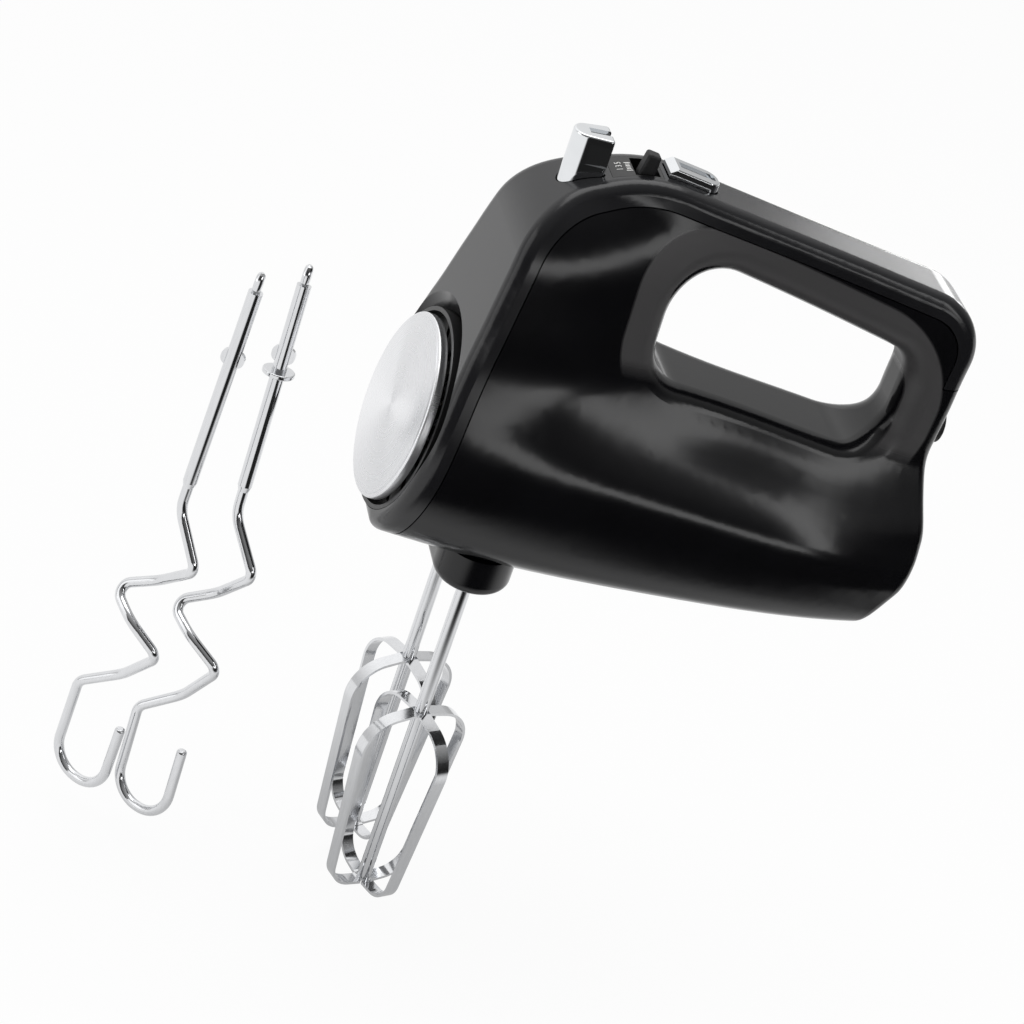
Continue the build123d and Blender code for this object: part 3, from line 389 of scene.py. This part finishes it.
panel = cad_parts["control_panel"]
slider_low, slider_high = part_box("speed_slider")
first_step = (slider_low.y + slider_high.y) / 2
last_step = 5
step_width = 0.001
print_thickness = 0.00006
tick_place, tick_width = 0.0104, 0.00042
tick_length, end_tick_length = 0.0014, 0.0019
number_place, number_size = 0.0077, 0.0028


def settle(piece, x, y):
    """A flat mark, drawn in the XY plane about the origin, is laid on the panel."""
    point, normal = panel.ray_cast((x, y, cad_box[1][2]), (0, 0, -1))[1:3]
    turn = Vector((0, 0, 1)).rotation_difference(normal).to_matrix().to_4x4()
    piece.data.transform(Matrix.Translation(point) @ turn)
    piece.data.materials.clear()
    piece.data.materials.append(printed)
    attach(piece, "housing")


for step in range(last_step + 1):
    bpy.ops.object.select_all(action="DESELECT")
    bpy.ops.mesh.primitive_plane_add(size=1.0)
    tick = bpy.context.object
    tick.name = f"scale_tick_{step}"
    length = end_tick_length if step in (0, last_step) else tick_length
    tick.scale = (length, tick_width, 1.0)
    bpy.ops.object.transform_apply(location=False, rotation=False, scale=True)
    bpy.ops.object.mode_set(mode="EDIT")
    bpy.ops.mesh.extrude_region_move(TRANSFORM_OT_translate={"value": (0, 0, print_thickness)})
    bpy.ops.mesh.select_all(action="SELECT")
    bpy.ops.mesh.normals_make_consistent(inside=False)
    bpy.ops.object.mode_set(mode="OBJECT")
    settle(tick, tick_place, first_step + step * step_width)

for step in range(1, last_step + 1, 2):
    bpy.ops.object.select_all(action="DESELECT")
    bpy.ops.object.text_add()
    number = bpy.context.object
    number.name = f"scale_number_{step}"
    number.data.body = str(step)
    number.data.size = number_size
    number.data.align_x = "CENTER"
    number.data.align_y = "CENTER"
    number.data.extrude = print_thickness / 2
    number.data.resolution_u = 4
    bpy.ops.object.convert(target="MESH")
    number.data.transform(Matrix.Rotation(radians(90), 4, "Z"))
    settle(number, number_place, first_step + step * step_width)


# Speed slider: a small black knob in a matte soft-touch plastic, with a fin for the thumb. It slides across
# the panel and works the speed switch.

matte_abs, tree, shader, place = new_material("matte_black_abs")
shader.inputs["Roughness"].default_value = 0.55
grain = noise(tree, place, 0.35, 2.0)
tint(tree, grain, "#121213", "#1c1c1e")
emboss(tree, grain, 0.3, 0.06)
dress(matte_abs, "speed_slider")


# Control board: a circuit board under a green solder lacquer that carries both switches. Its glass weave
# shows through as a fine check.

board, tree, shader, place = new_material("solder_masked_board")
shader.inputs["Roughness"].default_value = 0.3
weave = add_node(tree, "ShaderNodeTexChecker", {
    "Vector": place, "Scale": per_mm(0.8), "Color1": linear("#1c5a34"), "Color2": linear("#174c2c"),
})
tree.links.new(weave.outputs["Color"], shader.inputs["Base Color"])
dress(board, "control_board")


# Cord inlet: a soft black rubber bush, held in the rear wall between the shells. It is dull, with a dusty
# bloom.

rubber, tree, shader, place = new_material("black_rubber")
shader.inputs["Roughness"].default_value = 0.65
tint(tree, noise(tree, place, 3, 4.0), "#131313", "#1e1e1e")
dress(rubber, "cord_inlet")


# Beaters and dough hooks: strip and wire of steel, bent and welded, then chrome plated all over. The plate is
# bright, with the faint lengthwise lines of the drawn wire.

line_stretch = 0.06

tool_chrome, tree, shader, place = new_material("chrome_plated_steel")
shader.inputs["Metallic"].default_value = 1.0
drawn = add_node(tree, "ShaderNodeMapping", {"Vector": place, "Scale": (1.0, 1.0, line_stretch)})
lines = noise(tree, drawn.outputs["Vector"], 0.6, 3.0)
tint(tree, lines, "#d3d4d6", "#e6e7e9")
roughen(tree, lines, 0.07, 0.16)
emboss(tree, lines, 0.1, 0.04)
for side in ("left", "right"):
    dress(tool_chrome, side + "_beater_shaft", side + "_beater_blades", side + "_dough_hook")
dress(tool_chrome, "right_hook_collar")


# Floor: a wide pale studio table, white to the eye, with room under the tools for the beaters to drop out.
# In reflections its colour is painted: white near the object and on the left, dark in front, where the unlit
# room begins, and with a painted shadow round the spot under the object.

beater_drop = 0.0095
table_size = 8.0
glow_share = 0.93
shade_middle, shade_stretch = (0.04, 0.0, 0.0), (0.6, 1.0, 0.0)

bpy.ops.object.select_all(action="DESELECT")
bpy.ops.mesh.primitive_plane_add(size=table_size, location=(0, 0, cad_box[0][2] - beater_drop))
floor = bpy.context.object
floor.name = "studio_floor"
table, tree, shader, place = new_material("white_table")
shader.inputs["Roughness"].default_value = 0.9
shader.inputs["Specular IOR Level"].default_value = 0.1
parts = add_node(tree, "ShaderNodeSeparateXYZ", {"Vector": place}).outputs
near = ramp(tree, parts["Y"], start=-0.22, end=-0.06, interpolation_type="SMOOTHSTEP")
left = ramp(tree, parts["X"], start=-0.20, end=-0.06, low=1.0, high=0.0, interpolation_type="SMOOTHSTEP")
offset = add_node(tree, "ShaderNodeVectorMath", {0: place, 1: shade_middle}, operation="SUBTRACT")
stretched = add_node(tree, "ShaderNodeVectorMath", {
    0: offset.outputs["Vector"], 1: shade_stretch,
}, operation="MULTIPLY").outputs["Vector"]
away = add_node(tree, "ShaderNodeVectorMath", {0: stretched}, operation="LENGTH").outputs["Value"]
# Painted shadow: in reflections the floor darkens round the spot under the object.
shade = ramp(tree, away, start=0.04, end=0.14, low=0.42, interpolation_type="SMOOTHSTEP")
lit = work_out(tree, "MULTIPLY", work_out(tree, "MAXIMUM", near, left), shade)
unlit = work_out(tree, "SUBTRACT", 1.0, lit)
path = add_node(tree, "ShaderNodeLightPath").outputs
dark = work_out(tree, "MULTIPLY", path["Is Glossy Ray"], unlit)
# In reflections the floor's colour is painted dark where it is unlit: in front, and in the painted shadow.
tint(tree, dark, "#f4f4f4", "#181818")
mirrored = work_out(tree, "MULTIPLY", path["Is Glossy Ray"], lit)
seen = work_out(tree, "MAXIMUM", path["Is Camera Ray"], mirrored)
glow = add_node(tree, "ShaderNodeEmission", {"Color": (1.0, 1.0, 1.0, 1.0), "Strength": 1.0})
both = add_node(tree, "ShaderNodeMixShader", {
    0: work_out(tree, "MULTIPLY", seen, glow_share), 1: shader.outputs["BSDF"], 2: glow.outputs["Emission"],
})
tree.links.new(both.outputs["Shader"], tree.nodes["Material Output"].inputs["Surface"])
floor.data.materials.append(table)


# Studio: a white room, bright behind the object and overhead and dim towards the camera. Soft boxes stand
# above it, on the left for the nose, and on the right and low in front for the highlight along the side.

world = bpy.data.worlds.new("white_room")
bpy.context.scene.world = world
world.use_nodes = True
tree = world.node_tree
tree.nodes.clear()
way = add_node(tree, "ShaderNodeTexCoord").outputs["Generated"]
parts = add_node(tree, "ShaderNodeSeparateXYZ", {"Vector": way}).outputs
rear = ramp(tree, parts["Y"], start=-0.5, end=0.7, low=0.05, high=0.95, interpolation_type="SMOOTHSTEP")
side = ramp(tree, parts["X"], start=0.15, end=0.55, low=1.0, high=0.5, interpolation_type="SMOOTHSTEP")
overhead = ramp(tree, parts["Z"], start=0.2, end=1.0, high=0.35)
room = add_node(tree, "ShaderNodeBackground", {
    "Color": (1.0, 1.0, 1.0, 1.0), "Strength": work_out(tree, "MULTIPLY_ADD", rear, side, overhead),
})
white = add_node(tree, "ShaderNodeBackground", {"Color": (1.0, 1.0, 1.0, 1.0), "Strength": 1.0})
path = add_node(tree, "ShaderNodeLightPath").outputs
seen = work_out(tree, "MAXIMUM", path["Is Camera Ray"], path["Is Transmission Ray"])
both = add_node(tree, "ShaderNodeMixShader", {
    0: seen, 1: room.outputs["Background"], 2: white.outputs["Background"],
})
add_node(tree, "ShaderNodeOutputWorld", {"Surface": both.outputs["Shader"]})

object_middle = Vector((0.05, 0.0, 0.17))


def soft_box(name, place, width, height, brightness, roll=0.0):
    """A soft box that looks at the object, rolled about its line of sight, with its face's brightness."""
    lamp = bpy.data.lights.new(name, "AREA")
    lamp.shape = "RECTANGLE"
    lamp.size, lamp.size_y = width, height
    lamp.energy = brightness * pi * width * height
    stand = bpy.data.objects.new(name, lamp)
    stand.location = place
    aimed = (Vector(place) - object_middle).to_track_quat("Z", "Y")
    stand.rotation_euler = (aimed @ Quaternion((0, 0, 1), roll)).to_euler()
    bpy.context.scene.collection.objects.link(stand)
    return stand


soft_box("overhead_box", (0.05, 0.15, 1.15), width=1.0, height=0.6, brightness=1.9)
soft_box("left_box", (-0.95, -0.20, 0.45), width=0.6, height=0.85, brightness=1.0)
soft_box("right_box", (0.87, -0.75, 0.74), width=0.18, height=0.8, brightness=3.0, roll=radians(-16))
soft_box("low_box", (0.50, -1.12, 0.31), width=0.75, height=0.15, brightness=2.8)

# A small box behind is flagged off from all but the top cover, where it lights the rear of the handle.
rear_box = soft_box("rear_box", (0.84, 0.95, 0.36), width=0.4, height=0.22, brightness=6.0)
flagged = bpy.data.collections.new("lit_by_rear_box")
flagged.objects.link(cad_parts["top_cover"])
rear_box.light_linking.receiver_collection = flagged


# Camera: a long lens above the front left, turned so that the object stands tilted in the picture.

azimuth, elevation, roll = radians(-20.28), radians(30.51), radians(19.53)
aim = Vector((0.01236, 0.0, 0.1481))
distance = 0.9
back = Vector((sin(azimuth) * cos(elevation), -cos(azimuth) * cos(elevation), sin(elevation)))
level = Vector((cos(azimuth), sin(azimuth), 0.0))
upright = back.cross(level)
right = level * cos(roll) + upright * sin(roll)
up = upright * cos(roll) - level * sin(roll)
turn = Matrix((right, up, back)).transposed().to_4x4()
lens = bpy.data.cameras.new("long_lens")
lens.sensor_width = 36.0
lens.lens = 97.32
camera = bpy.data.objects.new("camera", lens)
camera.matrix_world = Matrix.Translation(aim + back * distance) @ turn
bpy.context.scene.collection.objects.link(camera)
bpy.context.scene.camera = camera
bpy.context.scene.view_settings.view_transform = "Standard"
